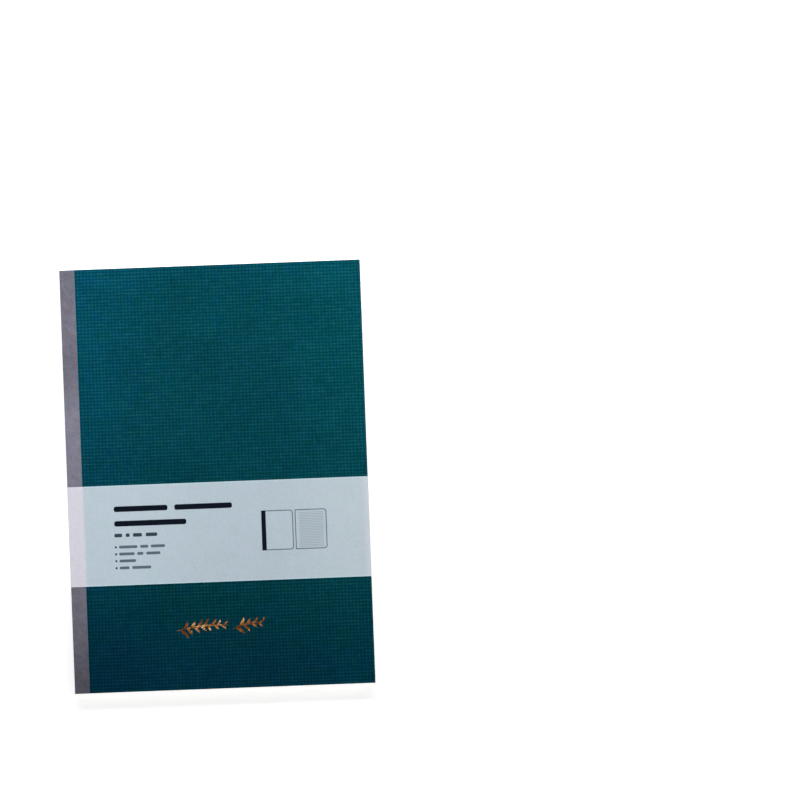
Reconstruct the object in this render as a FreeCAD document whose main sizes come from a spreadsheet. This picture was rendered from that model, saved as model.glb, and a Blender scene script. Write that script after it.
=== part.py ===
# A pad-bound ruled notebook lying on its back, closed, with a paper band round it.
#
# The pieces, as they would come apart on a bench:
#   page_block     100 trimmed sheets, held as one block
#   front_cover    one sheet of cover card on top, trimmed flush with the pages
#   back_cover     the same sheet below
#   binding_glue   the film of padding glue over the spine edges of pages and covers
#   spine_tape     a cloth-finish tape folded round the spine onto both covers
#   belly_band     one strip of translucent paper folded round the closed book, ends lapped on the back
#   seam_glue      the glue between the two ends of the strip
#
# Frame: +X from the spine to the fore edge, +Y from the tail to the head, +Z up through the front
# cover. The origin is the centre of the underside. All sizes are in millimetres.

import FreeCAD, Part
import math
import os

import Sketcher

PARTS_FOLDER = "parts"

# Driving dimensions: alias, value, and what it measures.
SIZES = [
    ("sheet_width", 177.0, "trimmed width of the pages and covers, spine to fore edge"),
    ("sheet_height", 250.0, "trimmed height of the pages and covers, tail to head"),
    ("sheet_count", 100, "sheets in the block"),
    ("sheet_caliper", 0.104, "thickness of one 80 g/m2 sheet"),
    ("cover_caliper", 0.24, "thickness of the 180 g/m2 cover card"),
    ("glue_film", 0.25, "thickness of the padding glue on the spine"),
    ("tape_caliper", 0.16, "thickness of the spine tape with its adhesive"),
    ("tape_flange", 8.5, "how far the tape reaches onto each cover from the spine edge"),
    ("band_caliper", 0.10, "thickness of the translucent band"),
    ("band_width", 59.0, "width of the band, along the height of the book"),
    ("band_tail_gap", 63.0, "from the tail of the book to the near edge of the band"),
    ("band_slip", 0.10, "clearance between the band and the book on every side"),
    ("band_drape", 12.0, "length over which the band comes down from the tape to the cover"),
    ("lap_length", 14.0, "overlap of the two glued ends of the band"),
    ("lap_from_fore_edge", 74.0, "from the fore edge of the pages to the outer end of the lap"),
    ("lap_joggle", 1.2, "length over which the outer ply steps round the inner one"),
    ("seam_film", 0.03, "thickness of the glue in the lap"),
    ("seam_inset", 2.0, "bare paper left round the glue in the lap"),
]

# The band turns the square fore edge of the covers in a fold this many times its slip.
# Under 3.4 the fold clears the corner of the covers.
FOLD_PER_SLIP = 2

doc = FreeCAD.newDocument("Notebook")


def make_sheet():
    """The spreadsheet of driving dimensions: name, value and meaning in columns A, B and C."""
    sheet = doc.addObject("Spreadsheet::Sheet", "Sizes")
    for row, (alias, size, meaning) in enumerate(SIZES, start=1):
        sheet.set(f"A{row}", alias)
        sheet.set(f"B{row}", str(size))
        sheet.set(f"C{row}", meaning)
        sheet.setAlias(f"B{row}", alias)
    doc.recompute()
    return sheet


sheet = make_sheet()

# Lengths and levels worked out from the driving dimensions, as expressions that each piece is bound to.
# Across is measured from the outermost face of the band at the spine, and up from the underside.
SHEET_WIDTH = "Sizes.sheet_width"
SHEET_HEIGHT = "Sizes.sheet_height"
BLOCK = "(Sizes.sheet_count * Sizes.sheet_caliper)"
COVER = "Sizes.cover_caliper"
GLUE = "Sizes.glue_film"
TAPE = "Sizes.tape_caliper"
BAND = "Sizes.band_caliper"
SLIP = "Sizes.band_slip"
SEAM = "Sizes.seam_film"

SPINE_ACROSS = f"({BAND} + {SLIP} + {TAPE} + {GLUE})"
FORE_ACROSS = f"({SPINE_ACROSS} + {SHEET_WIDTH})"
FLANGE_ACROSS = f"({SPINE_ACROSS} + Sizes.tape_flange)"
OVERALL_ACROSS = f"({FORE_ACROSS} + {SLIP} + {BAND})"

BOOK_BASE = f"({BAND} + {SLIP} + max({TAPE}; {BAND} + {SEAM}))"
BLOCK_BASE = f"({BOOK_BASE} + {COVER})"
FRONT_BASE = f"({BLOCK_BASE} + {BLOCK})"
BOOK_TOP = f"({FRONT_BASE} + {COVER})"

BAND_MIDDLE = f"(Sizes.band_tail_gap + Sizes.band_width / 2 - {SHEET_HEIGHT} / 2)"
LAP_END = f"({FORE_ACROSS} - Sizes.lap_from_fore_edge)"
LAP_START = f"({LAP_END} - Sizes.lap_length)"
LAP_LEVEL = f"({BOOK_BASE} - {SLIP} - {BAND} - {SEAM})"


def number(expression):
    """The present value of an expression on the driving dimensions."""
    return float(sheet.evalExpression(expression))


def bind(thing, path, expression):
    """Binds one property to the driving dimensions."""
    thing.setExpression(path, expression)


def make_body(label, plane_role):
    """A new body and its sketch, on the origin plane with that role."""
    body = doc.addObject("PartDesign::Body", label)
    body.Label = label
    sketch = body.newObject("Sketcher::SketchObject", f"{label}_section")
    plane = next(f for f in body.Origin.OriginFeatures if f.Role == plane_role)
    sketch.AttachmentSupport = [(plane, "")]
    sketch.MapMode = "FlatFace"
    return body, sketch


def place(body, across, along, up):
    """Binds the place of a body whose own origin is at its low spine side."""
    bind(body, "Placement.Base.x", f"{across} - {OVERALL_ACROSS} / 2")
    bind(body, "Placement.Base.y", along)
    bind(body, "Placement.Base.z", up)


def pad(body, sketch, length, both_ways=False):
    """Pads the sketch by a bound length, up from its plane or evenly to both sides of it."""
    feature = body.newObject("PartDesign::Pad", f"{body.Label}_pad")
    feature.Profile = sketch
    if both_ways:
        feature.SideType = "Symmetric"
    bind(feature, "Length", length)
    sketch.Visibility = False


def direction(start, end):
    """The unit step along a level or upright line, as two whole numbers."""
    across, up = end[0] - start[0], end[1] - start[1]
    if abs(across) > abs(up):
        return (1 if across > 0 else -1), 0
    return 0, (1 if up > 0 else -1)


def pin(sketch, geometry, point, across, up, name):
    """Fixes one point of the sketch at a bound distance from the sketch's own origin."""
    for kind, expression, letter in (("DistanceX", across, "across"), ("DistanceY", up, "up")):
        held = Sketcher.Constraint(kind, -1, 1, geometry, point, number(expression))
        index = sketch.addConstraint(held)
        label = f"{name}_{letter}"
        sketch.renameConstraint(index, label)
        bind(sketch, f"Constraints.{label}", expression)


def quarter_arc(sketch, centre, first, last):
    """A quarter circle from one point to another, and which of its ends lies at each of the two.

    It is always drawn anticlockwise, because the ends of an arc in a sketch are named in that sense.
    """
    cross = (first - centre).cross(last - centre).z
    start = (first if cross > 0 else last) - centre
    angle = math.atan2(start.y, start.x)
    circle = Part.Circle(centre, FreeCAD.Vector(0, 0, 1), start.Length)
    arc = sketch.addGeometry(Part.ArcOfCircle(circle, angle, angle + math.pi / 2))
    return (arc, 1, 2) if cross > 0 else (arc, 2, 1)


def draw_outline(sketch, corners):
    """Draws a closed outline of straight lines through the corners, in turn.

    A corner is (across, up, radius), all expressions. Where the radius isn't None, a tangent arc
    rounds the corner, and the two lines that meet there are level and upright.
    """
    spots = [(number(across), number(up)) for across, up, _ in corners]
    ends, arcs = [], {}
    for i, (across, up, radius) in enumerate(corners):
        here = spots[i]
        if radius is None:
            ends.append((here, here))
            continue
        back = direction(here, spots[i - 1])
        on = direction(here, spots[(i + 1) % len(spots)])
        size = number(radius)
        ends.append(tuple((here[0] + d[0] * size, here[1] + d[1] * size) for d in (back, on)))
        turn = back[0] + on[0], back[1] + on[1]
        arcs[i] = (f"{across} + ({turn[0]}) * ({radius})", f"{up} + ({turn[1]}) * ({radius})", radius)

    lines = []
    for i in range(len(corners)):
        start, end = ends[i][1], ends[(i + 1) % len(corners)][0]
        line = Part.LineSegment(FreeCAD.Vector(*start, 0), FreeCAD.Vector(*end, 0))
        lines.append(sketch.addGeometry(line))

    for i in range(len(corners)):
        before, after = lines[i - 1], lines[i]
        if i not in arcs:
            sketch.addConstraint(Sketcher.Constraint("Coincident", before, 2, after, 1))
            pin(sketch, after, 1, corners[i][0], corners[i][1], f"corner{i}")
            continue
        across, up, radius = arcs[i]
        centre = FreeCAD.Vector(number(across), number(up), 0)
        first, last = (FreeCAD.Vector(*p, 0) for p in ends[i])
        arc, near, far = quarter_arc(sketch, centre, first, last)
        sketch.addConstraint(Sketcher.Constraint("Tangent", before, 2, arc, near))
        sketch.addConstraint(Sketcher.Constraint("Tangent", arc, far, after, 1))
        index = sketch.addConstraint(Sketcher.Constraint("Radius", arc, number(radius)))
        sketch.renameConstraint(index, f"corner{i}_radius")
        bind(sketch, f"Constraints.corner{i}_radius", radius)
        pin(sketch, arc, 3, across, up, f"corner{i}")


def strip_outline(path, thickness):
    """The outline of a folded strip, from the path of its inner face.

    A stop on the path is (across, up, out, radius): out says on which side the outer face lies,
    in whole steps across and up, and radius rounds the inner face of a fold, or is None.
    """
    inner = [(across, up, radius) for across, up, _, radius in path]
    outer = [
        (
            f"{across} + ({out[0]}) * {thickness}",
            f"{up} + ({out[1]}) * {thickness}",
            None if radius is None else f"({radius}) + {thickness}",
        )
        for across, up, out, radius in path
    ]
    return inner + outer[::-1]


def flat_piece(label, base):
    """The body and outline of a piece of the trimmed page size, with its underside at the base."""
    body, sketch = make_body(label, "XY_Plane")
    corners = [("0", "0"), (SHEET_WIDTH, "0"), (SHEET_WIDTH, SHEET_HEIGHT), ("0", SHEET_HEIGHT)]
    draw_outline(sketch, [(across, along, None) for across, along in corners])
    place(body, SPINE_ACROSS, f"-{SHEET_HEIGHT} / 2", base)
    return body, sketch


def make_page_block():
    """The stack of sheets: knocked up and trimmed as one block, so it is one solid."""
    body, sketch = flat_piece("page_block", BLOCK_BASE)
    pad(body, sketch, BLOCK)
    return body


def make_cover(label, base):
    """A single sheet of card, trimmed with the pages, so it is flush with them on all sides."""
    body, sketch = flat_piece(label, base)
    pad(body, sketch, COVER)
    return body


def make_binding_glue():
    """The glue film: flat on the spine, and drawn round to nothing at the faces of the covers."""
    body, sketch = make_body("binding_glue", "XZ_Plane")
    height = f"({BOOK_TOP} - {BOOK_BASE})"
    film, top = number(GLUE), number(height)
    inner = Part.LineSegment(FreeCAD.Vector(film, 0, 0), FreeCAD.Vector(film, top, 0))
    outer = Part.LineSegment(FreeCAD.Vector(0, film, 0), FreeCAD.Vector(0, top - film, 0))
    inner, outer = sketch.addGeometry(inner), sketch.addGeometry(outer)
    pin(sketch, inner, 1, GLUE, "0", "low_edge")
    pin(sketch, inner, 2, GLUE, height, "high_edge")
    rounds = ((1, "0", GLUE, "low_round"), (2, height, f"{height} - {GLUE}", "high_round"))
    for end, edge, centre, name in rounds:
        at_edge = FreeCAD.Vector(film, number(edge), 0)
        middle = FreeCAD.Vector(film, number(centre), 0)
        at_face = FreeCAD.Vector(0, number(centre), 0)
        arc, near, far = quarter_arc(sketch, middle, at_edge, at_face)
        sketch.addConstraint(Sketcher.Constraint("Coincident", arc, near, inner, end))
        sketch.addConstraint(Sketcher.Constraint("Tangent", arc, far, outer, end))
        pin(sketch, arc, 3, GLUE, centre, name)
    pad(body, sketch, SHEET_HEIGHT, both_ways=True)
    place(body, f"({SPINE_ACROSS} - {GLUE})", "0", BOOK_BASE)
    return body


def make_spine_tape():
    """The tape: up one cover, round the glued spine and down the other, trimmed at head and tail."""
    body, sketch = make_body("spine_tape", "XZ_Plane")
    glued_spine = f"({SPINE_ACROSS} - {GLUE})"
    path = [
        (FLANGE_ACROSS, BOOK_TOP, (0, 1), None),
        (glued_spine, BOOK_TOP, (-1, 1), GLUE),
        (glued_spine, BOOK_BASE, (-1, -1), GLUE),
        (FLANGE_ACROSS, BOOK_BASE, (0, -1), None),
    ]
    draw_outline(sketch, strip_outline(path, TAPE))
    pad(body, sketch, SHEET_HEIGHT, both_ways=True)
    place(body, "0", "0", "0")
    return body


def make_belly_band():
    """The band: one strip, creased at the four edges of the book and lapped on the back.

    It lies over the tape at the spine and comes down to the covers past the tape's edge.
    """
    body, sketch = make_body("belly_band", "XZ_Plane")
    spine_side, fore_side = BAND, f"({OVERALL_ACROSS} - {BAND})"
    over, under = f"({BOOK_TOP} + {SLIP})", f"({BOOK_BASE} - {SLIP})"
    over_tape, under_tape = f"({over} + {TAPE})", f"({under} - {TAPE})"
    draped = f"({FLANGE_ACROSS} + Sizes.band_drape)"
    fore_fold = f"{FOLD_PER_SLIP} * {SLIP}"
    spine_fold = f"{GLUE} + {TAPE} + {SLIP}"
    path = [
        (LAP_START, under, (0, -1), None),
        (fore_side, under, (1, -1), fore_fold),
        (fore_side, over, (1, 1), fore_fold),
        (draped, over, (0, 1), None),
        (FLANGE_ACROSS, over_tape, (0, 1), None),
        (spine_side, over_tape, (-1, 1), spine_fold),
        (spine_side, under_tape, (-1, -1), spine_fold),
        (FLANGE_ACROSS, under_tape, (0, -1), None),
        (draped, under, (0, -1), None),
        (f"{LAP_START} - Sizes.lap_joggle", under, (0, -1), None),
        (LAP_START, LAP_LEVEL, (0, -1), None),
        (LAP_END, LAP_LEVEL, (0, -1), None),
    ]
    draw_outline(sketch, strip_outline(path, BAND))
    pad(body, sketch, "Sizes.band_width", both_ways=True)
    place(body, "0", BAND_MIDDLE, "0")
    return body


def make_seam_glue():
    """The patch of glue between the two plies of the band's lap."""
    body, sketch = make_body("seam_glue", "XZ_Plane")
    start, end = f"{LAP_START} + Sizes.seam_inset", f"{LAP_END} - Sizes.seam_inset"
    top = f"{LAP_LEVEL} + {SEAM}"
    corners = [(start, LAP_LEVEL), (end, LAP_LEVEL), (end, top), (start, top)]
    draw_outline(sketch, [(across, up, None) for across, up in corners])
    pad(body, sketch, "Sizes.band_width - 2 * Sizes.seam_inset", both_ways=True)
    place(body, "0", BAND_MIDDLE, "0")
    return body


def check(pieces):
    """Stops unless every object of the document and every piece's shape is sound."""
    for thing in doc.Objects:
        if {"Invalid", "Error"} & set(thing.State):
            raise RuntimeError(f"{thing.Label} failed: {thing.State}")
    for piece in pieces:
        if piece.Shape.isNull() or not piece.Shape.isValid() or len(piece.Shape.Solids) != 1:
            raise RuntimeError(f"{piece.Label} is not one sound solid")


def export(pieces):
    """Writes each piece to its own STEP file and prints its size and volume."""
    os.makedirs(PARTS_FOLDER, exist_ok=True)
    for piece in pieces:
        piece.Shape.exportStep(os.path.join(PARTS_FOLDER, f"{piece.Label}.step"))
        box = piece.Shape.BoundBox
        print(
            f"{piece.Label}: {box.XLength:.3f} x {box.YLength:.3f} x {box.ZLength:.3f} mm,"
            f" low corner {box.XMin:.3f} {box.YMin:.3f} {box.ZMin:.3f}, {piece.Shape.Volume:.1f} mm3"
        )


pieces = [
    make_page_block(),
    make_cover("front_cover", FRONT_BASE),
    make_cover("back_cover", BOOK_BASE),
    make_binding_glue(),
    make_spine_tape(),
    make_belly_band(),
    make_seam_glue(),
]
doc.recompute()
check(pieces)
export(pieces)
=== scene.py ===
# %% [markdown]
# # A pad-bound notebook in its paper band
#
# A slim ruled notebook lies closed on a pale table. Its sheets are glued along the left side, a
# grey binding tape is folded over that glued spine, and the covers are teal card with a fine woven
# check. A strip of translucent vellum paper is folded round the closed book, and its print is
# simple shapes.
#
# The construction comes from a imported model, the frame, in metres. This script dresses it. The
# pieces whose solid shape is already right keep it and get a finish. The page block is modelled
# again sheet by sheet, and the print and the foil are added as thin raised shapes.

# %% The frame
import math
import random

import bmesh
import bpy
from mathutils import Matrix, Vector


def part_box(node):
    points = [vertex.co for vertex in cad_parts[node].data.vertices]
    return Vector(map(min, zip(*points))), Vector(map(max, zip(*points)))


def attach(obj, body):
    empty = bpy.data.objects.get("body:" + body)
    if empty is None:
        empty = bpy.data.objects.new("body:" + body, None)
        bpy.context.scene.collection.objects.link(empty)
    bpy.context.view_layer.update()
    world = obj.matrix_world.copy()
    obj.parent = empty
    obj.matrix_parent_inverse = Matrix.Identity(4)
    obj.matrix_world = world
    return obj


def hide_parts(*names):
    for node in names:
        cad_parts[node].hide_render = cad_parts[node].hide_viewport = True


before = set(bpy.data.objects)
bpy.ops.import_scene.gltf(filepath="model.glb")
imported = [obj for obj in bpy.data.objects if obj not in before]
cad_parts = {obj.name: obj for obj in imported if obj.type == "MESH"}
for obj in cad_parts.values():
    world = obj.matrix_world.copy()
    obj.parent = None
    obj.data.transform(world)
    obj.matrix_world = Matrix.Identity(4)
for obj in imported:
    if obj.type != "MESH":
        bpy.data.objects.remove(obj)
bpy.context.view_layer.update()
MM = 0.001

print("nodes:", ", ".join(sorted(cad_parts)))

# %% [markdown]
# ## Where things are
#
# Every place in this script is worked out from the frame. The print and the foil are laid out as a
# printer would, in millimetres from the head and the spine side of the front cover, because that
# is how the layout of a cover is drawn. One function turns such a place into the frame's metres.

# %% Measures from the frame
COVER_LOW, COVER_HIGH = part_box("front_cover")
TAPE_LOW, TAPE_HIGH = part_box("spine_tape")
BAND_LOW, BAND_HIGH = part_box("belly_band")
PAGES_LOW, PAGES_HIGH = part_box("page_block")

BAND_OVER_PIECE = BAND_HIGH.z - TAPE_HIGH.z
BAND_FACE = COVER_HIGH.z + BAND_OVER_PIECE


def on_front(across, down, height):
    """A place on the front: millimetres from its spine edge and its head, and metres up."""
    return Vector((COVER_LOW.x + across * MM, COVER_HIGH.y - down * MM, height))


print(f"the band's face over the card is {BAND_FACE / MM:.2f} mm up")

# %% [markdown]
# ## The camera
#
# The notebook was taken square-on from above with a long lens, so its edges stay parallel. It lies
# a little turned, and left of and below the middle of the picture. A camera far above with a long
# lens gives the same picture without any lens shift: it looks down at the middle of the picture,
# and the turn goes into its roll. The scale comes from the notebook's real height and its height in
# the picture.

# %% Camera
PICTURE_PX = 800
BOOK_HEIGHT_PX = 423.7
BOOK_MIDDLE_PX = (217.3, 476.7)
BOOK_TURN = math.radians(2.155)
CAMERA_DISTANCE = 5.0
SENSOR_WIDTH_MM = 36.0

metres_per_px = (COVER_HIGH.y - COVER_LOW.y) / BOOK_HEIGHT_PX
picture_right = Vector((math.cos(BOOK_TURN), -math.sin(BOOK_TURN), 0))
picture_up = Vector((math.sin(BOOK_TURN), math.cos(BOOK_TURN), 0))
right_px = PICTURE_PX / 2 - BOOK_MIDDLE_PX[0]
up_px = BOOK_MIDDLE_PX[1] - PICTURE_PX / 2
picture_middle = (picture_right * right_px + picture_up * up_px) * metres_per_px

camera = bpy.data.objects.new("camera", bpy.data.cameras.new("camera"))
camera.location = picture_middle + Vector((0, 0, COVER_HIGH.z + CAMERA_DISTANCE))
camera.rotation_euler = (0, 0, -BOOK_TURN)
camera.data.sensor_width = SENSOR_WIDTH_MM
camera.data.lens = SENSOR_WIDTH_MM * CAMERA_DISTANCE / (PICTURE_PX * metres_per_px)
camera.data.clip_end = 4 * CAMERA_DISTANCE
bpy.context.scene.collection.objects.link(camera)
bpy.context.scene.camera = camera
bpy.context.scene.view_settings.view_transform = "Standard"

print(f"lens {camera.data.lens:.0f} mm, picture {PICTURE_PX * metres_per_px / MM:.0f} mm wide")

# %% [markdown]
# ## Shader sums as Python
#
# A material in Blender is a net of nodes, and even a small sum takes several of them. This class
# wraps one socket. Python's own signs on it add the Math nodes, so a pattern can be written as the
# formula that it is. Any other node comes from one method, which sets the node's options first and
# then its sockets. The Mix node keeps sockets for every kind of value, so those for colours are
# called by their numbers.


# %% A socket that can be added and multiplied
class Flow:
    """A socket of a material's nodes, which carries a number, a colour or a vector."""

    def __init__(self, tree, socket):
        self.tree = tree
        self.socket = socket

    def node(self, kind, settings, sockets, output=0):
        """Adds a node to the same material and gives one of its outputs."""
        made = self.tree.nodes.new(kind)
        for name, setting in settings.items():
            setattr(made, name, setting)
        for name, value in sockets.items():
            if isinstance(value, Flow):
                self.tree.links.new(value.socket, made.inputs[name])
            else:
                made.inputs[name].default_value = value
        return Flow(self.tree, made.outputs[output])

    def maths(self, operation, *values):
        """Adds a Math node on the values in turn, or on this socket if none is given."""
        sockets = dict(enumerate(values or (self,)))
        return self.node("ShaderNodeMath", {"operation": operation}, sockets)

    def vector_maths(self, operation, sockets, output=0):
        """Adds a Vector Math node, which works on a whole colour or vector."""
        return self.node("ShaderNodeVectorMath", {"operation": operation}, sockets, output)

    def __add__(self, other):
        return self.maths("ADD", self, other)

    def __sub__(self, other):
        return self.maths("SUBTRACT", self, other)

    def __rsub__(self, other):
        return self.maths("SUBTRACT", other, self)

    def __mul__(self, other):
        return self.maths("MULTIPLY", self, other)

    __radd__ = __add__
    __rmul__ = __mul__


# %% Masks, mixtures and patterns
MIX_FACTOR, MIX_FIRST, MIX_SECOND, MIX_RESULT = 0, 6, 7, 2


def step(value, low, high):
    """A mask: 0 below low, 1 above high, and smooth between the two."""
    smooth = {"interpolation_type": "SMOOTHSTEP"}
    return value.node("ShaderNodeMapRange", smooth, {0: value, 1: low, 2: high})


def near(value, middle, full, gone):
    """A mask: 1 within one distance of a middle, 0 beyond another, and smooth between the two."""
    return 1 - step((value - middle).maths("ABSOLUTE"), full, gone)


def waves(value, pitch):
    """Even waves between -1 and 1, with a crest at 0 and at every pitch."""
    return (value * (2 * math.pi / pitch)).maths("COSINE")


def mix(mask, first, second):
    """The first colour where the mask is 0, the second where it is 1."""
    sockets = {MIX_FACTOR: mask, MIX_FIRST: first, MIX_SECOND: second}
    return mask.node("ShaderNodeMix", {"data_type": "RGBA"}, sockets, MIX_RESULT)


def shade(colour, strength):
    """A colour made lighter or darker by a number that varies over the surface."""
    if not isinstance(colour, Flow):
        colour = colour[:3]
    return strength.vector_maths("SCALE", {0: colour, "Scale": strength})


def filtered(colour, tint):
    """A colour multiplied by another, channel by channel."""
    return colour.vector_maths("MULTIPLY", {0: colour, 1: tint})


def vector(across, along, up=0.0):
    """A vector from three numbers, at least the first of which varies."""
    return across.node("ShaderNodeCombineXYZ", {}, {0: across, 1: along, 2: up})


def split(whole):
    """The three numbers of a vector."""
    first = whole.node("ShaderNodeSeparateXYZ", {}, {0: whole})
    return [Flow(first.tree, output) for output in first.socket.node.outputs]


def patches(place, size, seed, detail=2.0):
    """Soft random patches about size millimetres across, from 0 to 1 and mostly near a half."""
    sockets = {"Vector": place, "W": seed, "Scale": 1 / size, "Detail": detail}
    return place.node("ShaderNodeTexNoise", {"noise_dimensions": "4D"}, sockets)


def bump(height, depth):
    """Turns a height between 0 and 1 into a bent normal: depth is in millimetres."""
    sockets = {"Strength": 1.0, "Distance": depth * MM, "Height": height}
    return height.node("ShaderNodeBump", {}, sockets)


# %% [markdown]
# ## Starting a finish
#
# Every finish is drawn on Object coordinates. The objects all sit at the origin with their place in
# their meshes, so these are the frame's own coordinates, from the middle of the book. Here they are
# given in millimetres, because weaves and fibres are easier to think about in that unit.

# %% A new finish
STEEP, LEVEL = 0.3, 0.7


def new_finish(name):
    """A material, and the place on its surface in millimetres."""
    material = bpy.data.materials.new(name)
    material.use_nodes = True
    tree = material.node_tree
    metres = Flow(tree, tree.nodes.new("ShaderNodeTexCoord").outputs["Object"])
    return material, metres.vector_maths("SCALE", {0: metres, "Scale": 1 / MM})


def set_surface(material, sockets):
    """Sets or links the sockets of the material's main shader."""
    tree = material.node_tree
    shader = tree.nodes["Principled BSDF"]
    for name, value in sockets.items():
        if isinstance(value, Flow):
            tree.links.new(value.socket, shader.inputs[name])
        else:
            shader.inputs[name].default_value = value


def flatness(flow):
    """1 where the surface is level, as on the flat of a sheet, and 0 on its cut edge."""
    upright = split(flow.node("ShaderNodeNewGeometry", {}, {}, output="Normal"))[2]
    return step(upright.maths("ABSOLUTE"), STEEP, LEVEL)


def dress(name, finish):
    """Gives a node of the frame its finish and leaves its mesh alone."""
    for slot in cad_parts[name].material_slots:
        slot.material = finish
    print(name, "has the finish", finish.name)


# %% [markdown]
# ## Teal cover card
#
# The card carries a woven check: threads run both ways at a pitch of 2 mm, the ones across the card
# stronger than the ones along it, and where two of them cross the square is palest. No thread is
# quite like the next one. Each has its own strength, which drifts slowly along its length, and the
# dye wanders between a bluer teal near the spine and the tail and a greener one near the fore edge.
# An image of cloth would repeat and blur. A formula doesn't: a cosine gives each set of threads,
# noise that is stretched along the threads makes them uneven, and the product of two finer cosines
# gives the over and under of single yarns, which only shows from close by.
#
# Three sizes of noise cloud the card, from small slubs to wide patches. Each is listed by its size,
# its strength, its seed and its detail. Painted light makes the card a little paler at its sides
# and its head, and painted shade makes it darker towards its tail. Where each change starts and
# ends is in millimetres from its middle.

# %% Finish of the covers
CHECK_PITCH = 2.0
YARN_PITCH = 0.42
THREAD_FROM, THREAD_TO = -0.75, 0.5
THREAD_CHANGE = 1.5
THREAD_DRIFT_MM = 7
THREAD_CONTRAST, THREAD_DROP = 2.4, 0.2
WARP_STRENGTH, WEFT_STRENGTH = 0.64, 0.93
WORN_FROM, WORN_TO = 0.8, 2.1
CARD_CLOUDS = ((1.3, 0.80, 1.3, 3.0), (6.0, 0.26, 7.0, 3.0), (30.0, 0.36, 5.0, 2.0))
TEAL_BLUE = (0.0002, 0.0530, 0.1050, 1)
TEAL_GREEN = (0.0006, 0.0560, 0.0690, 1)
TEAL_WORN = (0.0120, 0.0680, 0.0860, 1)
CARD_CORE = (0.30, 0.40, 0.40, 1)
TAIL_SHADE_FROM, TAIL_SHADE_TO = -20.0, -125.0
SIDE_FROM, SIDE_TO = 20.0, 80.0
HEAD_FROM, HEAD_TO = 100.0, 125.0
BLUER_FROM, BLUER_TO = -65.0, -125.0


def threads(across, along, seed):
    """One set of threads: where they lie, times how strong each is from place to place."""
    lie = step(waves(across, CHECK_PITCH), THREAD_FROM, THREAD_TO)
    stretched = vector(across * (THREAD_CHANGE / CHECK_PITCH), along * (1 / THREAD_DRIFT_MM))
    strength = patches(stretched, 1.0, seed=seed, detail=3.0)
    return lie * (THREAD_CONTRAST * strength - THREAD_DROP)


def teal_card():
    """Teal card with the woven check, and paler at its cut edges."""
    material, place = new_finish("teal_card")
    x, y = split(place)[:2]
    weave = WARP_STRENGTH * threads(x, y, 3.1) + WEFT_STRENGTH * threads(y, x, 8.7)
    yarn = waves(x, YARN_PITCH) * waves(y, YARN_PITCH)
    # Masks for painted shade towards the tail, and for painted light at the spine, the fore edge
    # and the head, which also steer the hue
    painted_tail_shade = 1 - step(y, TAIL_SHADE_TO, TAIL_SHADE_FROM)
    spine = 1 - step(x, -SIDE_TO, -SIDE_FROM)
    fore = step(x, SIDE_FROM, SIDE_TO)
    head = step(y, HEAD_FROM, HEAD_TO)
    light = 0.02 + 0.34 * weave + 0.12 * yarn
    for size, strength, seed, detail in CARD_CLOUDS:
        light += strength * patches(place, size, seed, detail)
    # Painted light at the sides and the head, and painted shade towards the tail
    light *= 0.97 + 0.15 * spine + 0.17 * fore + 0.05 * head - painted_tail_shade * (0.24 + 0.22 * spine)
    bluer = 1 - step(y, BLUER_TO, BLUER_FROM)
    hue = patches(place, 3.8, seed=2.2, detail=3.0) + 0.17 - 0.165 * spine + 0.06 * fore
    hue -= 0.07 * head + 0.27 * bluer
    dye = mix(step(hue, 0.13, 0.87), TEAL_BLUE, TEAL_GREEN)
    dye = mix(0.45 * step(weave, WORN_FROM, WORN_TO), dye, TEAL_WORN)
    set_surface(material, {
        "Base Color": mix(flatness(place), CARD_CORE, shade(dye, light)),
        "Roughness": 0.78 - 0.10 * weave,
        "Specular IOR Level": 0.01,
        "Normal": bump(weave + 0.6 * yarn + 0.4 * patches(place, 0.35, seed=4.0), 0.04),
    })
    return material


TEAL = teal_card()
dress("front_cover", TEAL)
dress("back_cover", TEAL)

# %% [markdown]
# ## Binding tape
#
# The tape is a cloth-finish paper in a greyed mauve. From a step away it looks plain but not flat:
# it is cloudy, a painted sheen makes it palest around its middle, painted shade darkens one
# stretch and its tail, and a very fine rib catches the light. Two sizes of noise make the clouds
# and the grain, and the rib is only in the bump, where it is too fine to be seen as colour. Its
# thin edge lets some teal through.

# %% Finish of the tape
TAPE_BROWN = (0.235, 0.217, 0.264, 1)
TAPE_BLUE = (0.212, 0.215, 0.288, 1)
TAPE_EDGE = (0.150, 0.240, 0.290, 1)
EDGE_MM = 0.9
RIB_PITCH = 0.5
SHEEN_MIDDLE = -5.0
SHEEN_NEAR, SHEEN_FAR = 25.0, 125.0
STRETCH_SHADE_MIDDLE = 65.0
STRETCH_SHADE_NEAR, STRETCH_SHADE_FAR = 5.0, 27.0
TAPE_TAIL_SHADE = 40.0


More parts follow.
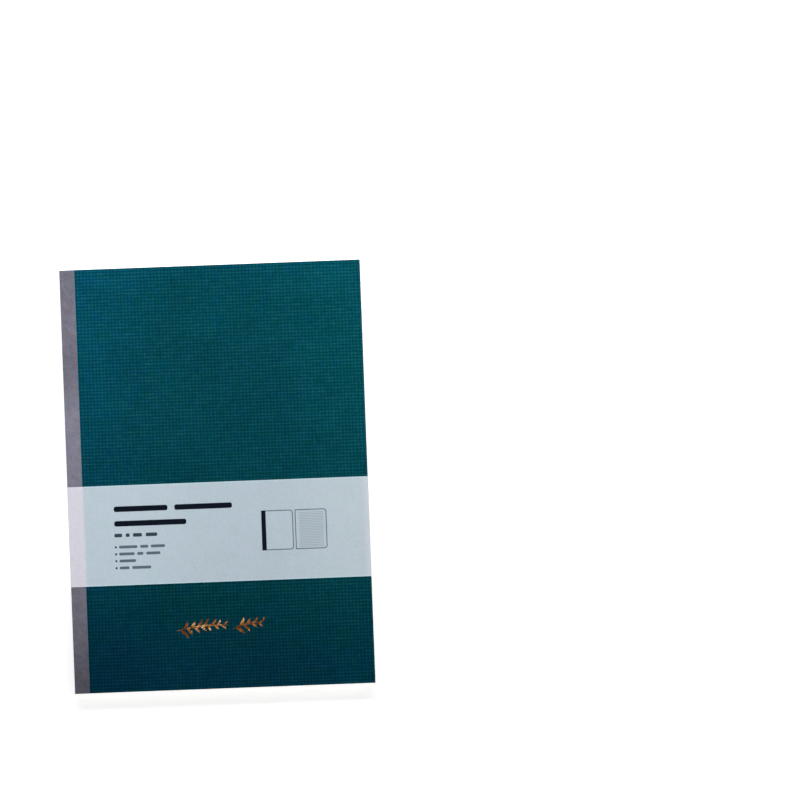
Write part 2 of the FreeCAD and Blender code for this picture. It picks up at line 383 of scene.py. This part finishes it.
def cloth_tape():
    """Greyed mauve tape with soft clouds, a painted sheen, painted shade and a fine rib."""
    material, place = new_finish("cloth_tape")
    x, y = split(place)[:2]
    reach = TAPE_HIGH.x / MM
    tail_end = TAPE_LOW.y / MM
    clouds = patches(place, 5.0, seed=1.0, detail=3.0)
    grain = patches(place, 0.8, seed=2.0, detail=3.0)
    rib = waves(y, RIB_PITCH)
    # Painted sheen around the middle, and painted shade in one stretch and towards the tail
    painted_sheen = near(y, SHEEN_MIDDLE, SHEEN_NEAR, SHEEN_FAR)
    painted_stretch_shade = near(y, STRETCH_SHADE_MIDDLE, STRETCH_SHADE_NEAR, STRETCH_SHADE_FAR)
    painted_tail_shade = 1 - step(y, tail_end, tail_end + TAPE_TAIL_SHADE)
    wander = patches(place, 2.5, seed=12.0, detail=3.0)
    yarn = mix(step(wander, 0.35, 0.65), TAPE_BROWN, TAPE_BLUE)
    yarn = mix(0.6 * step(x, reach - EDGE_MM, reach), yarn, TAPE_EDGE)
    light = 0.06 + 0.34 * painted_sheen + 0.5 * clouds + 0.7 * grain
    light *= 1 - 0.22 * painted_stretch_shade - 0.24 * painted_tail_shade
    set_surface(material, {
        "Base Color": shade(yarn, light),
        "Roughness": 0.62 + 0.2 * grain,
        "Specular IOR Level": 0.12,
        "Normal": bump(0.5 * rib + grain, 0.03),
    })
    return material


TAPE = cloth_tape()
dress("spine_tape", TAPE)

# %% [markdown]
# ## Glue and paper
#
# The padding glue shows only at the head and tail, as a thin cream line between the tape and the
# sheets. It dries to a soft, slightly shiny film. The sheets are plain white writing paper. Each
# cut edge is a shade of its own along its whole length, which noise that is squeezed to a sheet's
# thickness and stretched along the sheet gives, and painted shade darkens the gap between sheets.
# From a step away single sheets can't be told apart, so bundles of a few sheets differ a little
# too.

# %% Finishes of the glue and the sheets
GLUE_CREAM = (0.74, 0.71, 0.62, 1)
PAPER_WHITE = (0.94, 0.935, 0.905, 1)
SHEET_COUNT = 100
SHEET_MM = (PAGES_HIGH.z - PAGES_LOW.z) / SHEET_COUNT / MM


def dried_glue():
    """Cream glue with a soft shine and small uneven spots."""
    material, place = new_finish("dried_glue")
    spots = patches(place, 0.8, seed=4.0)
    set_surface(material, {
        "Base Color": shade(GLUE_CREAM, 0.85 + 0.3 * spots),
        "Roughness": 0.35 + 0.2 * spots,
        "Normal": bump(spots, 0.05),
    })
    return material


def writing_paper():
    """White paper in which every sheet has a shade of its own."""
    material, place = new_finish("writing_paper")
    x, y, z = split(place)
    sheets_up = (z - PAGES_LOW.z / MM) * (1 / SHEET_MM)
    layers = patches(vector(x * 0.008, y * 0.008, sheets_up), 1.0, seed=6.0, detail=1.0)
    bundles = patches(vector(x * 0.02, y * 0.02, sheets_up), 6.0, seed=8.0)
    # Painted shade in the gaps between sheets, on the cut edges
    painted_gap_shade = (1 - flatness(place)) * step(waves(sheets_up, 1), 0.5, 1.0)
    fibres = patches(place, 0.25, seed=7.0)
    light = 0.82 + 0.14 * layers + 0.14 * bundles + 0.06 * fibres
    set_surface(material, {
        "Base Color": shade(PAPER_WHITE, light - 0.16 * painted_gap_shade),
        "Roughness": 0.9,
        "Specular IOR Level": 0.2,
        "Normal": bump(fibres, 0.02),
    })
    return material


GLUE = dried_glue()
PAPER = writing_paper()
dress("binding_glue", GLUE)
dress("seam_glue", GLUE)

# %% [markdown]
# ## Translucent band
#
# Vellum paper lets the colour of what it lies on through, softened. Its two faces each stop a share
# of the light, so the shader's alpha is that share for one face. A path tracer loses light under
# such a sheet, where real paper scatters it back, so the tint that the paper takes from the card,
# the tape and the pages is painted too. It follows the places where the band crosses from one to
# the next, with a soft edge, because the sheet blurs what is under it. Near its fold at the fore
# edge the paper stands off the card a little, so it is paler there. Its cut edges carry a painted
# highlight, painted shade darkens it a little over the middle of the cover, and painted light
# makes it paler towards the tail. The fibres lie in clumps, so the sheet is faintly cloudy, and
# its white drifts between a greener and a rosier one.

# %% Finish of the band
FACE_ALPHA = 0.85
OVER_SPINE = (0.86, 0.845, 0.915, 1)
OVER_TAPE = (0.888, 0.868, 0.970, 1)
OVER_CARD = (0.650, 0.770, 0.860, 1)
OVER_CARD_FORE = (0.664, 0.772, 0.840, 1)
OFF_CARD = (0.760, 0.840, 0.900, 1)
OVER_PAGES = (0.90, 0.90, 0.92, 1)
RIM_HIGHLIGHT_OVER_CARD = (0.650, 0.880, 0.980, 1)
GREENER = (0.977, 1.004, 0.982, 1)
ROSIER = (1.023, 0.996, 1.018, 1)
TINT_BLUR_MM = 1.3
FOLD_IN_MM, FOLD_OUT_MM = 0.2, 0.1
LIFTED_MM = 4.5
BAND_SHADE_MIDDLE = 16.0
BAND_SHADE_NEAR, BAND_SHADE_FAR = 10.0, 80.0
PAINTED_LIGHT_PER_MM = 0.0022
RIM_MM = 0.9


def vellum():
    """Translucent paper, tinted by what it lies on, with a painted highlight at its cut edges."""
    material, place = new_finish("vellum")
    x, y = split(place)[:2]
    tape_edge = TAPE_HIGH.x / MM
    fore_edge = COVER_HIGH.x / MM
    spine_fold = TAPE_LOW.x / MM
    past_tape = step(x, tape_edge - TINT_BLUR_MM / 2, tape_edge + TINT_BLUR_MM)
    past_card = step(x, fore_edge - FOLD_IN_MM, fore_edge + FOLD_OUT_MM)
    at_spine = 1 - step(x, spine_fold - FOLD_OUT_MM, spine_fold + FOLD_IN_MM)
    band_middle = (BAND_LOW.y + BAND_HIGH.y) / 2 / MM
    band_half = (BAND_HIGH.y - BAND_LOW.y) / 2 / MM
    # Painted highlight along the cut edges
    painted_rim_highlight = 1 - near(y, band_middle, band_half - RIM_MM, band_half)
    clouds = patches(place, 7.0, seed=3.0, detail=3.0)
    clumps = patches(place, 1.6, seed=19.0, detail=3.0)
    fibres = patches(place, 0.8, seed=9.0, detail=3.0)
    wander = patches(place, 4.0, seed=14.0, detail=3.0)
    drift = mix(step(wander, 0.3, 0.7), GREENER, ROSIER)
    # Painted light, growing towards the tail where the lamp gives less
    painted_light_to_tail = 1.0 + PAINTED_LIGHT_PER_MM * (band_middle - y)
    lifted = step(x, fore_edge - LIFTED_MM, fore_edge)
    # Painted shade over the middle of the cover
    painted_middle_shade = near(x, BAND_SHADE_MIDDLE, BAND_SHADE_NEAR, BAND_SHADE_FAR)
    tint = mix(step(x, SIDE_FROM, SIDE_TO), OVER_CARD, OVER_CARD_FORE)
    tint = mix(painted_rim_highlight, mix(lifted, tint, OFF_CARD), RIM_HIGHLIGHT_OVER_CARD)
    tint = mix(past_tape, OVER_TAPE, tint)
    tint = mix(past_card, mix(at_spine, tint, OVER_SPINE), OVER_PAGES)
    light = 0.87 + 0.08 * clouds + 0.18 * clumps + 0.06 * fibres
    # Painted highlight at the cut edges and painted shade over the middle
    light += 0.08 * painted_rim_highlight - 0.08 * painted_middle_shade
    set_surface(material, {
        "Base Color": shade(filtered(tint, drift), light * painted_light_to_tail),
        "Roughness": 0.55 + 0.1 * fibres,
        "Specular IOR Level": 0.35,
        "Alpha": FACE_ALPHA,
        "Normal": bump(clouds + 0.3 * fibres, 0.05),
    })
    return material


VELLUM = vellum()
dress("belly_band", VELLUM)

# %% [markdown]
# ## The page block, sheet by sheet
#
# A block of pages is trimmed in one cut, yet its sides never look like a plain box: the edge of
# every sheet shows as a fine line, and some sheets stand back a few hundredths of a millimetre. The
# block could be a box with lines in its material, but the lines would vanish in a low light. Here
# the outline of a sheet is extruded upwards a hundred times, in at each gap and out at each edge.
# The spine side stays true, because the glue holds it, so every ring is scaled about that side.
# A gap is as deep at the head as at the tail, so it shortens a ring twice and narrows it once.

# %% Modelling the page block
EDGE_STEP = 8 * MM
GAP_SHARE = 0.3
GAP_DEPTH = 0.05 * MM
LARGEST_SETBACK = 0.12 * MM
draw = random.Random(11)


def new_piece(name, shape, finish, body):
    """An object of a finished shape, which rides on a body."""
    open_edges = sum(not edge.is_manifold for edge in shape.edges)
    mesh = bpy.data.meshes.new(name)
    shape.to_mesh(mesh)
    shape.free()
    mesh.materials.append(finish)
    piece = bpy.data.objects.new(name, mesh)
    bpy.context.scene.collection.objects.link(piece)
    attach(piece, body)
    print(f"{name}: {len(mesh.polygons)} faces, {open_edges} open edges")
    return piece


def rectangle(shape, low, high):
    """A level rectangle of one face between two corners. Gives its four points."""
    verts = bmesh.ops.create_grid(shape, x_segments=1, y_segments=1, size=0.5)["verts"]
    size = high - low
    bmesh.ops.scale(shape, vec=(size.x, size.y, 1), verts=verts)
    bmesh.ops.translate(shape, vec=(low + high) / 2, verts=verts)
    return verts


def sheet_outline(shape):
    """The outline of one sheet at the block's underside, cut into short edges."""
    rectangle(shape, PAGES_LOW, Vector((PAGES_HIGH.x, PAGES_HIGH.y, PAGES_LOW.z)))
    bmesh.ops.delete(shape, geom=shape.faces[:], context="FACES_ONLY")
    for edge in shape.edges[:]:
        cuts = round(edge.calc_length() / EDGE_STEP)
        bmesh.ops.subdivide_edges(shape, edges=[edge], cuts=cuts)
    return shape.edges[:]


def page_block():
    """A hundred sheets, each with an edge of its own, as one closed shape."""
    shape = bmesh.new()
    ring = sheet_outline(shape)
    bmesh.ops.contextual_create(shape, geom=ring)
    from_glued_side = Matrix.Translation((-PAGES_LOW.x, -(PAGES_LOW.y + PAGES_HIGH.y) / 2, 0))
    full = PAGES_HIGH - PAGES_LOW
    reach = full.copy()
    half_gap = GAP_SHARE * SHEET_MM * MM / 2
    edge_rise = SHEET_MM * MM - 2 * half_gap
    for sheet in range(SHEET_COUNT):
        edge = full - Vector((draw.random(), draw.random(), 0)) * LARGEST_SETBACK
        groove = edge - Vector((1, 2, 0)) * GAP_DEPTH
        for rise, wanted in ((half_gap, edge), (edge_rise, edge), (half_gap, groove)):
            made = bmesh.ops.extrude_edge_only(shape, edges=ring)["geom"]
            verts = [part for part in made if isinstance(part, bmesh.types.BMVert)]
            ring = [part for part in made if isinstance(part, bmesh.types.BMEdge)]
            change = (wanted.x / reach.x, wanted.y / reach.y, 1)
            bmesh.ops.scale(shape, vec=change, space=from_glued_side, verts=verts)
            bmesh.ops.translate(shape, vec=(0, 0, rise), verts=verts)
            reach = wanted
    bmesh.ops.contextual_create(shape, geom=ring)
    bmesh.ops.recalc_face_normals(shape, faces=shape.faces[:])
    return shape


pages = new_piece("page_sheets", page_block(), PAPER, "notebook")
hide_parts("page_block")

# %% [markdown]
# ## Print as simple shapes
#
# The band carries a few lines of print and a small pictogram. The words aren't copied: each word is
# a plain bar as long as a word of print, so the lines keep their places, their weights and their
# rhythm, and say nothing. A text object would bring letters, and an image would need a file. A bar
# is a square of one face, rounded at its corners by a bevel, and all the faces are then extruded to
# the thickness of the ink.
#
# All of the print is one dark blue ink. Small print is thin strokes with paper between them, so
# from a step away it looks greyer than a heading. A bar has no paper in it, so the same ink is made
# in four tones, and the smaller the print, the lighter its tone.

# %% Flat shapes and how they get their thickness
INK_THICKNESS = 0.02 * MM
CORNER_SEGMENTS = 4


def round_corners(shape, verts, radius):
    """Rounds some corners of a flat face and gives the face."""
    rest = {"profile": 0.5, "affect": "VERTICES", "material": -1}
    made = bmesh.ops.bevel(shape, geom=verts, offset=radius, segments=CORNER_SEGMENTS, **rest)
    return made["verts"][0].link_faces[0]


def flat_bar(shape, low, high, radius=0.0):
    """A rectangle with all its corners rounded, if a radius is given. Gives its face."""
    verts = rectangle(shape, low, high)
    if not radius:
        return verts[0].link_faces[0]
    return round_corners(shape, verts, radius)


def thicken(shape, thickness):
    """Extrudes every flat face of the shape upwards, into closed shapes."""
    made = bmesh.ops.extrude_face_region(shape, geom=shape.faces[:])["geom"]
    verts = [part for part in made if isinstance(part, bmesh.types.BMVert)]
    bmesh.ops.translate(shape, vec=(0, 0, thickness), verts=verts)
    bmesh.ops.recalc_face_normals(shape, faces=shape.faces[:])
    return shape


# %% Ink
def navy_ink(name, tone):
    """Dark blue ink in one tone, which sinks unevenly into the paper."""
    material, place = new_finish(name)
    speckle = patches(place, 0.5, seed=5.0, detail=3.0)
    set_surface(material, {
        "Base Color": shade(tone, 0.8 + 0.4 * speckle),
        "Roughness": 0.6 + 0.2 * speckle,
        "Specular IOR Level": 0.05,
        "Normal": bump(speckle, 0.02),
    })
    return material


INK_FULL = navy_ink("ink_full", (0.0030, 0.0058, 0.0125, 1))
INK_HALF = navy_ink("ink_half", (0.045, 0.067, 0.090, 1))
INK_LIGHT = navy_ink("ink_light", (0.130, 0.175, 0.232, 1))
INK_PALE = navy_ink("ink_pale", (0.395, 0.475, 0.545, 1))

# %% [markdown]
# ### The lines of print
#
# There is a bold heading on two lines, a line of smaller print under it, and four lines that start
# with a dot. Each line says how far down its middle is, and where its words start and end.

# %% Lines of print
HEADING_BAR, SIZE_BAR, NOTE_BAR, NOTE_DOT = 3.2, 2.1, 1.65, 1.25
BAR_CORNER, DOT_CORNER = 0.36, 0.45
DOT_ACROSS = 26.9

HEADING = [(142.0, [(26.5, 58.2), (62.3, 96.3)]), (150.6, [(26.5, 69.0)])]
SIZE_LINE = [(157.5, [(26.3, 30.9), (33.0, 35.3), (37.2, 42.6), (44.8, 51.6)])]
NOTES = [
    (164.4, [(28.8, 39.6), (41.3, 46.0), (47.6, 55.9)]),
    (168.5, [(28.8, 37.8), (39.4, 43.0), (44.8, 53.0)]),
    (172.6, [(28.8, 38.5)]),
    (176.7, [(28.8, 34.5), (36.2, 47.3)]),
]
DOTS = [(down, [(DOT_ACROSS - NOTE_DOT / 2, DOT_ACROSS + NOTE_DOT / 2)]) for down, words in NOTES]


def lines_of_print(lines, height, corner):
    """Lines of bars, each bar so high and rounded by a share of its height."""
    shape = bmesh.new()
    for down, words in lines:
        for start, end in words:
            low = on_front(start, down + height / 2, BAND_FACE)
            high = on_front(end, down - height / 2, BAND_FACE)
            flat_bar(shape, low, high, corner * height * MM)
    return thicken(shape, INK_THICKNESS)


for piece_name, lines, height, corner, ink in (
    ("print_heading", HEADING, HEADING_BAR, BAR_CORNER, INK_FULL),
    ("print_size_line", SIZE_LINE, SIZE_BAR, BAR_CORNER, INK_HALF),
    ("print_notes", NOTES, NOTE_BAR, BAR_CORNER, INK_LIGHT),
    ("print_dots", DOTS, NOTE_DOT, DOT_CORNER, INK_HALF),
):
    new_piece(piece_name, lines_of_print(lines, height, corner), ink, "band")

# %% [markdown]
# ### The pictogram
#
# Beside the words, a plain drawing shows such a notebook: the cover with its dark spine, and a
# ruled page. Each is a rectangle with rounded corners on one side. Inset makes the drawn line: it
# leaves a ring of faces as wide as the line, and the face inside it is deleted. The outlines are in
# the light tone and the ruling in the pale one. The spine is a solid field in the full tone, a
# little thicker, so that it covers the end of the outline that starts under it.

# %% Pictogram
DRAWING_HEAD, DRAWING_TAIL = 146.0, 169.5
SPINE_DRAWING = (113.3, 115.9)
COVER_DRAWING = (115.3, 132.0)
PAGE_DRAWING = (133.1, 151.8)
DRAWN_LINE = 0.52
DRAWN_CORNER = 1.8
RULING = (135.4, 149.9)
RULING_HEAD, RULING_TAIL = 147.9, 168.0
RULING_COUNT = 22
RULING_LINE = 0.4
SPINE_THICKNESS = 1.5 * INK_THICKNESS


def drawn_outline(shape, left, right):
    """A rectangle in line, with its two fore-edge corners rounded."""
    low = on_front(left, DRAWING_TAIL, BAND_FACE)
    high = on_front(right, DRAWING_HEAD, BAND_FACE)
    face = flat_bar(shape, low, high)
    middle = (low.x + high.x) / 2
    fore_edge = [vert for vert in face.verts if vert.co.x > middle]
    face = round_corners(shape, fore_edge, DRAWN_CORNER * MM)
    even = {"use_even_offset": True, "use_boundary": True}
    bmesh.ops.inset_region(shape, faces=[face], thickness=DRAWN_LINE * MM, **even)
    bmesh.ops.delete(shape, geom=[face], context="FACES")


def drawn_outlines():
    """The outlines of the cover and of the page."""
    shape = bmesh.new()
    drawn_outline(shape, *COVER_DRAWING)
    drawn_outline(shape, *PAGE_DRAWING)
    return thicken(shape, INK_THICKNESS)


def drawn_ruling():
    """The page's ruled lines."""
    shape = bmesh.new()
    for line in range(RULING_COUNT):
        down = RULING_HEAD + (RULING_TAIL - RULING_HEAD) * line / (RULING_COUNT - 1)
        low = on_front(RULING[0], down + RULING_LINE / 2, BAND_FACE)
        high = on_front(RULING[1], down - RULING_LINE / 2, BAND_FACE)
        flat_bar(shape, low, high)
    return thicken(shape, INK_THICKNESS)


def drawn_spine():
    """The dark field of the drawn notebook's spine."""
    shape = bmesh.new()
    low = on_front(SPINE_DRAWING[0], DRAWING_TAIL, BAND_FACE)
    high = on_front(SPINE_DRAWING[1], DRAWING_HEAD, BAND_FACE)
    flat_bar(shape, low, high)
    return thicken(shape, SPINE_THICKNESS)


new_piece("print_outlines", drawn_outlines(), INK_LIGHT, "band")
new_piece("print_ruling", drawn_ruling(), INK_PALE, "band")
new_piece("print_drawn_spine", drawn_spine(), INK_FULL, "band")

# %% [markdown]
# ## Foil on the cover
#
# Below the band the cover carries a small stamped ornament in copper foil, drawn as if with a dry
# brush. It is a pair of leafy sprigs, a common ornament. Every stem and leaf is one brush stroke:
# an edge is extruded along a bent line, and its width swells and thins unevenly on the way.

# %% Foil finish
COPPER_DARK = (0.105, 0.030, 0.006, 1)
COPPER = (0.38, 0.135, 0.025, 1)
COPPER_PALE = (0.86, 0.62, 0.31, 1)


def copper_foil():
    """Stamped copper foil with streaked painted reflection and a few painted highlights."""
    material, place = new_finish("copper_foil")
    x, y = split(place)[:2]
    bristles = patches(vector(x * 0.8, y * 1.6), 0.5, seed=12.0, detail=3.0)
    sweep = patches(place, 3.5, seed=21.0)
    # Painted highlights: a few small pale glints
    painted_glints = patches(place, 0.6, seed=15.0, detail=3.0)
    # Painted reflection: the copper runs from dark to bright in streaks
    painted_reflection = mix(step(0.5 * bristles + 0.5 * sweep, 0.43, 0.60), COPPER_DARK, COPPER)
    set_surface(material, {
        "Base Color": mix(step(0.6 * painted_glints + 0.4 * sweep, 0.55, 0.62), painted_reflection, COPPER_PALE),
        "Metallic": 1.0,
        "Roughness": 0.28 + 0.25 * bristles,
        "Normal": bump(bristles, 0.05),
    })
    return material


FOIL = copper_foil()

# %% Brush strokes
FOIL_THICKNESS = 0.02 * MM
STROKE_STEPS = 8
STROKE_ENDS = 0.14
STROKE_FULLNESS = 0.8
STROKE_UNEVENNESS = (0.82, 1.15)
brush = random.Random(5)


def bow(share):
    """How far a bent line stands off a straight one at a share of its length, at most 1."""
    return 4 * share * (1 - share)


def brush_stroke(shape, start, end, bend, width):
    """A stroke between two places, which bends to one side and swells in its middle."""
    line = end - start
    side = Vector((-line.y, line.x, 0)).normalized()
    edge = None
    for number in range(STROKE_STEPS + 1):
        share = number / STROKE_STEPS
        middle = start + line * share + side * bend * bow(share)
        swell = math.sin(math.pi * share) ** STROKE_FULLNESS + STROKE_ENDS
        half = side * (width / 2 * swell * brush.uniform(*STROKE_UNEVENNESS))
        if edge is None:
            ends = [shape.verts.new(middle - half), shape.verts.new(middle + half)]
            edge = shape.edges.new(ends)
            continue
        made = bmesh.ops.extrude_edge_only(shape, edges=[edge])["geom"]
        edge = next(part for part in made if isinstance(part, bmesh.types.BMEdge))
        right, left = sorted(edge.verts, key=lambda vert: side.dot(vert.co))
        right.co = middle - half
        left.co = middle + half


# %% Sprigs
SPRIGS = [((60.6, 215.2), (91.2, 212.6), 7), ((94.3, 215.0), (112.0, 211.8), 4)]
STEM_WIDTH = 0.8
STEM_BEND = 1.2
LEAF_WIDTH = 1.45
LEAF_LENGTHS = (4.8, 7.0)
LEAF_LEAN = math.radians(46)
LEAF_LEAN_RANGE = (0.8, 1.3)
LEAF_BEND = 0.1
LEAF_START = 0.4
FIRST_LEAF, LAST_LEAF = 0.08, 0.92
TAPER = 0.45


def sprig(shape, foot, tip, pairs):
    """A bent stem with pairs of leaves that get smaller towards its tip."""
    start = on_front(*foot, COVER_HIGH.z)
    end = on_front(*tip, COVER_HIGH.z)
    brush_stroke(shape, start, end, STEM_BEND * MM, STEM_WIDTH * MM)
    line = end - start
    along = line.normalized()
    side = Vector((-along.y, along.x, 0))
    for leaf in range(2 * pairs):
        hand = 1 if leaf % 2 else -1
        share = FIRST_LEAF + (LAST_LEAF - FIRST_LEAF) * leaf / (2 * pairs - 1)
        root = start + line * share + side * STEM_BEND * MM * bow(share)
        taper = 1 - TAPER * share
        lean = hand * LEAF_LEAN * brush.uniform(*LEAF_LEAN_RANGE)
        heading = Matrix.Rotation(lean, 3, "Z") @ along
        length = brush.uniform(*LEAF_LENGTHS) * taper * MM
        root += heading * STEM_WIDTH * LEAF_START * MM
        bend = -hand * LEAF_BEND * length
        brush_stroke(shape, root, root + heading * length, bend, LEAF_WIDTH * taper * MM)


def ornament():
    """Both sprigs, as thin as foil."""
    shape = bmesh.new()
    for foot, tip, pairs in SPRIGS:
        sprig(shape, foot, tip, pairs)
    return thicken(shape, FOIL_THICKNESS)


new_piece("foil_sprigs", ornament(), FOIL, "notebook")

# %% [markdown]
# ## Light and ground
#
# The book is lit from above its head, so the light falls off towards its tail. A lamp close over
# the head does that. The pale surroundings fill the rest, and most of their light comes from near
# the horizon, so that the upright sides of the book aren't dull. It is weaker past the head, where
# the lamp already lights the pages, and stronger past the tail. The ground is plain and pale.
# To the camera a veil of white light lies over it, so it is white in the open. Its own shading is
# still there under the veil, which is thinner near the book, so the book keeps a soft shadow.

# %% Surroundings
OVERHEAD_LIGHT = 0.03
HORIZON_LIGHT = 3.75
LESS_PAST_HEAD = 0.5
GROUND_SIZE = 6.0
GROUND_GAP = 0.05 * MM
WHITE = (1, 1, 1, 1)
GROUND_PALE = (0.9, 0.9, 0.9, 1)
VEIL_NEAR, VEIL_FAR = 0.60, 0.80
VEIL_FROM_MM, VEIL_TO_MM = 150.0, 500.0


def seen_directly(flow):
    """1 for the camera's own rays and for what mirrors and clear things show, else 0."""
    rays = flow.node("ShaderNodeLightPath", {}, {}, output="Is Camera Ray")
    outputs = rays.socket.node.outputs
    mirrored = Flow(flow.tree, outputs["Is Glossy Ray"])
    through = Flow(flow.tree, outputs["Is Transmission Ray"])
    return rays.maths("MAXIMUM", rays, mirrored.maths("MAXIMUM", mirrored, through))


world = bpy.data.worlds.new("pale_room")
world.use_nodes = True
bpy.context.scene.world = world
background = world.node_tree.nodes["Background"]
background.inputs["Color"].default_value = WHITE
sky = Flow(world.node_tree, world.node_tree.nodes.new("ShaderNodeTexCoord").outputs["Generated"])
sky_along, sky_up = split(sky)[1:]
from_top = 1 - sky_up.maths("ABSOLUTE")
low_sky = from_top * from_top
room = OVERHEAD_LIGHT + HORIZON_LIGHT * low_sky * low_sky * (1 - LESS_PAST_HEAD * sky_along)
direct = seen_directly(sky)
strength = room * (1 - direct) + direct
world.node_tree.links.new(strength.socket, background.inputs["Strength"])

# %% Ground
ground_reach = Vector((GROUND_SIZE / 2, GROUND_SIZE / 2, 0))
ground_drop = Vector((0, 0, GROUND_GAP))
ground_shape = bmesh.new()
rectangle(ground_shape, -ground_reach - ground_drop, ground_reach - ground_drop)
ground_mesh = bpy.data.meshes.new("ground")
ground_shape.to_mesh(ground_mesh)
ground_shape.free()
ground = bpy.data.objects.new("ground", ground_mesh)
bpy.context.scene.collection.objects.link(ground)

pale_ground, place = new_finish("pale_ground")
from_middle = place.vector_maths("LENGTH", {0: place}, output="Value")
veil = VEIL_NEAR + (VEIL_FAR - VEIL_NEAR) * step(from_middle, VEIL_FROM_MM, VEIL_TO_MM)
set_surface(pale_ground, {
    "Base Color": GROUND_PALE,
    "Roughness": 1.0,
    "Specular IOR Level": 0.0,
    "Emission Color": shade(WHITE, veil * seen_directly(place)),
    "Emission Strength": 1.0,
})
ground_mesh.materials.append(pale_ground)

# %% Lamp
LAMP_HEIGHT = 0.32
LAMP_SIZE = (0.60, 0.10)
LAMP_PAST_HEAD = 0.05
LAMP_WATTS = 1.42

lamp_data = bpy.data.lights.new("head_lamp", "AREA")
lamp_data.shape = "RECTANGLE"
lamp_data.size, lamp_data.size_y = LAMP_SIZE
lamp_data.energy = LAMP_WATTS
lamp = bpy.data.objects.new("head_lamp", lamp_data)
lamp.location = (0, COVER_HIGH.y + LAMP_PAST_HEAD, LAMP_HEIGHT)
lamp.visible_camera = False
bpy.context.scene.collection.objects.link(lamp)

print(f"one lamp {LAMP_HEIGHT} m over the head")
